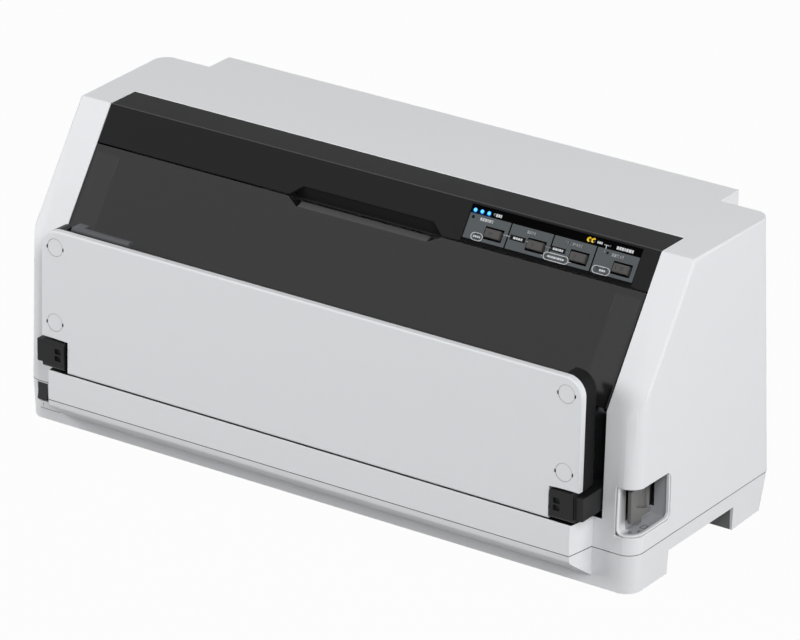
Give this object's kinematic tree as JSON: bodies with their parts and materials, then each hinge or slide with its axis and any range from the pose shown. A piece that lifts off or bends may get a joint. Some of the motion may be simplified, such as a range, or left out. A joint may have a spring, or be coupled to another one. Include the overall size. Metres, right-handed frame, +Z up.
{
  "type": "dot matrix printer",
  "caption": "Wide-carriage dot matrix printer with a sloping smoked cover, a folding front paper guide, a control strip, a corner lever recess and a rear paper slot",
  "frame": {"origin": "centre of the footprint, on the table under the feet", "axes": "X to the right as seen from the front, Y to the back, Z up"},
  "size_m": [0.636, 0.265, 0.2775],
  "materials": {
    "case_white": "fine matt moulding texture",
    "case_lower": "fine matt moulding texture",
    "strip_black": "satin black moulding",
    "panel_grey": "satin grey moulding",
    "lamp_blue": "clear tinted lens",
    "board_green": "solder mask",
    "button_grey": "satin moulding",
    "smoke_plastic": "smoked translucent, satin",
    "dark_plastic": "matt black moulding",
    "guide_grey": "matt grey moulding",
    "steel": "ground",
    "lever_grey": "matt grey moulding",
    "bezel_grey": "matt grey moulding",
    "zinc_plate": "zinc-plated sheet",
    "roller_rubber": "matt black rubber",
    "bronze": "sintered",
    "dark_metal": "dark coated",
    "ribbon_fabric": "inked weave",
    "alloy": "turned",
    "gear_plastic": "natural acetal",
    "foot_rubber": "matt rubber pad"
  },
  "bodies": {
    "root": {"lower_case": "case_lower", "upper_case": "case_white", "control_housing": "strip_black", "control_panel": "panel_grey", "panel_lamps": "lamp_blue", "control_board": "board_green", "inner_front_cover": "dark_plastic", "hinge_brackets": "dark_plastic", "guide_hinge_pins": "steel", "lever_bezel": "bezel_grey", "left_side_frame": "zinc_plate", "right_side_frame": "zinc_plate", "paper_table": "zinc_plate", "platen_bar": "roller_rubber", "guide_shaft": "steel", "rear_rail": "zinc_plate", "ribbon_cartridge": "dark_plastic", "ink_ribbon": "ribbon_fabric", "carriage_motor": "dark_metal", "timing_belt": "roller_rubber", "feed_motor": "dark_metal", "pinch_carrier": "dark_plastic", "shaft_bearings": "bronze", "tractor_support_shaft": "steel", "main_board": "board_green", "power_supply": "board_green", "interface_sockets": "dark_plastic", "power_inlet": "dark_plastic", "feet": "foot_rubber", "case_screws": "steel"},
    "front_guide": {"front_guide_panel": "case_white", "front_guide_tray": "dark_plastic", "guide_caps": "case_white"},
    "left_edge_guide": {"left_edge_guide": "guide_grey"},
    "right_edge_guide": {"right_edge_guide": "guide_grey"},
    "printer_cover": {"printer_cover": "smoke_plastic"},
    "tear_off_button": {"tear_off_button": "button_grey"},
    "line_feed_button": {"line_feed_button": "button_grey"},
    "load_button": {"load_button": "button_grey"},
    "pause_button": {"pause_button": "button_grey"},
    "power_switch": {"power_switch": "dark_plastic"},
    "release_lever": {"release_lever": "lever_grey"},
    "carriage": {"carriage": "lever_grey", "carriage_bushes": "bronze", "print_head": "dark_metal"},
    "motor_pulley": {"motor_pulley": "alloy"},
    "idler_pulley": {"idler_pulley": "alloy"},
    "feed_roller": {"feed_roller_shaft": "steel", "feed_roller_sleeves": "roller_rubber", "feed_gear": "gear_plastic"},
    "feed_pinion": {"feed_pinion": "gear_plastic"},
    "idler_gear": {"idler_gear": "gear_plastic"},
    "tractor_shaft": {"tractor_drive_shaft": "steel", "tractor_gear": "gear_plastic"},
    "pinch_rollers": {"pinch_rollers": "roller_rubber"},
    "left_tractor": {"left_tractor": "dark_plastic"},
    "right_tractor": {"right_tractor": "dark_plastic"},
    "left_tractor_lid": {"left_tractor_lid": "guide_grey"},
    "right_tractor_lid": {"right_tractor_lid": "guide_grey"},
    "rear_cover": {"rear_cover": "case_white"}
  },
  "joints": [
    {"name": "front_guide_hinge", "type": "hinge", "parent": "root", "child": "front_guide", "pos_m": [0, -0.1243, 0.077], "axis": [1, 0, 0], "range_deg": [0, 90]},
    {"name": "left_edge_guide_slide", "type": "slide", "parent": "front_guide", "child": "left_edge_guide", "axis": [1, 0, 0], "range_m": [-0.003, 0.18]},
    {"name": "right_edge_guide_slide", "type": "slide", "parent": "front_guide", "child": "right_edge_guide", "axis": [1, 0, 0], "range_m": [-0.18, 0.003]},
    {"name": "printer_cover_hinge", "type": "hinge", "parent": "root", "child": "printer_cover", "pos_m": [0, -0.08975, 0.16268], "axis": [1, 0, 0], "range_deg": [0, 38]},
    {"name": "tear_off_press", "type": "slide", "parent": "root", "child": "tear_off_button", "axis": [0, 0.8254, -0.5645], "range_m": [0, 0.001], "stiffness_N_per_m": 300},
    {"name": "line_feed_press", "type": "slide", "parent": "root", "child": "line_feed_button", "axis": [0, 0.8254, -0.5645], "range_m": [0, 0.001], "stiffness_N_per_m": 300},
    {"name": "load_press", "type": "slide", "parent": "root", "child": "load_button", "axis": [0, 0.8254, -0.5645], "range_m": [0, 0.001], "stiffness_N_per_m": 300},
    {"name": "pause_press", "type": "slide", "parent": "root", "child": "pause_button", "axis": [0, 0.8254, -0.5645], "range_m": [0, 0.001], "stiffness_N_per_m": 300},
    {"name": "power_switch_rock", "type": "hinge", "parent": "root", "child": "power_switch", "pos_m": [-0.3, -0.095, 0.0274], "axis": [1, 0, 0], "range_deg": [0, 10]},
    {"name": "release_lever_swing", "type": "hinge", "parent": "root", "child": "release_lever", "pos_m": [0.302, -0.074, 0.15], "axis": [1, 0, 0], "range_deg": [0, 8]},
    {"name": "carriage_slide", "type": "slide", "parent": "root", "child": "carriage", "axis": [1, 0, 0], "range_m": [-0.175, 0.175]},
    {"name": "motor_pulley_spin", "type": "hinge", "parent": "root", "child": "motor_pulley", "pos_m": [-0.24, 0.022, 0.107], "axis": [0, 0, 1], "range_deg": [-1300, 1300]},
    {"name": "idler_pulley_spin", "type": "hinge", "parent": "root", "child": "idler_pulley", "pos_m": [0.24, 0.022, 0.107], "axis": [0, 0, 1], "range_deg": [-1300, 1300]},
    {"name": "feed_roller_spin", "type": "hinge", "parent": "root", "child": "feed_roller", "pos_m": [0, 0.0035, 0.0758], "axis": [1, 0, 0], "continuous": true},
    {"name": "feed_pinion_spin", "type": "hinge", "parent": "root", "child": "feed_pinion", "pos_m": [-0.277, -0.01934, 0.04797], "axis": [1, 0, 0], "continuous": true},
    {"name": "idler_gear_spin", "type": "hinge", "parent": "root", "child": "idler_gear", "pos_m": [-0.277, 0.0455, 0.0758], "axis": [1, 0, 0], "continuous": true},
    {"name": "tractor_shaft_spin", "type": "hinge", "parent": "root", "child": "tractor_shaft", "pos_m": [0, 0.0755, 0.0758], "axis": [1, 0, 0], "continuous": true},
    {"name": "pinch_rollers_spin", "type": "hinge", "parent": "root", "child": "pinch_rollers", "pos_m": [0, 0.0035, 0.0922], "axis": [1, 0, 0], "continuous": true},
    {"name": "left_tractor_slide", "type": "slide", "parent": "root", "child": "left_tractor", "axis": [1, 0, 0], "range_m": [-0.055, 0.1]},
    {"name": "right_tractor_slide", "type": "slide", "parent": "root", "child": "right_tractor", "axis": [1, 0, 0], "range_m": [-0.1, 0.055]},
    {"name": "left_tractor_lid_hinge", "type": "hinge", "parent": "left_tractor", "child": "left_tractor_lid", "pos_m": [-0.2027, 0.07, 0.089], "axis": [0, -1, 0], "range_deg": [0, 100]},
    {"name": "right_tractor_lid_hinge", "type": "hinge", "parent": "right_tractor", "child": "right_tractor_lid", "pos_m": [0.2027, 0.07, 0.089], "axis": [0, 1, 0], "range_deg": [0, 100]},
    {"name": "rear_cover_hinge", "type": "hinge", "parent": "root", "child": "rear_cover", "pos_m": [0, 0.10125, 0.21014], "axis": [1, 0, 0], "range_deg": [0, 60]}
  ],
  "couplings": [
    {"joint": "motor_pulley_spin", "follows": "carriage_slide", "rad_per_m": 125},
    {"joint": "idler_pulley_spin", "follows": "carriage_slide", "rad_per_m": 125},
    {"joint": "feed_pinion_spin", "follows": "feed_roller_spin", "ratio": -2},
    {"joint": "idler_gear_spin", "follows": "feed_roller_spin", "ratio": -1.3333},
    {"joint": "tractor_shaft_spin", "follows": "feed_roller_spin", "ratio": 2},
    {"joint": "pinch_rollers_spin", "follows": "feed_roller_spin", "ratio": -1.6667}
  ]
}
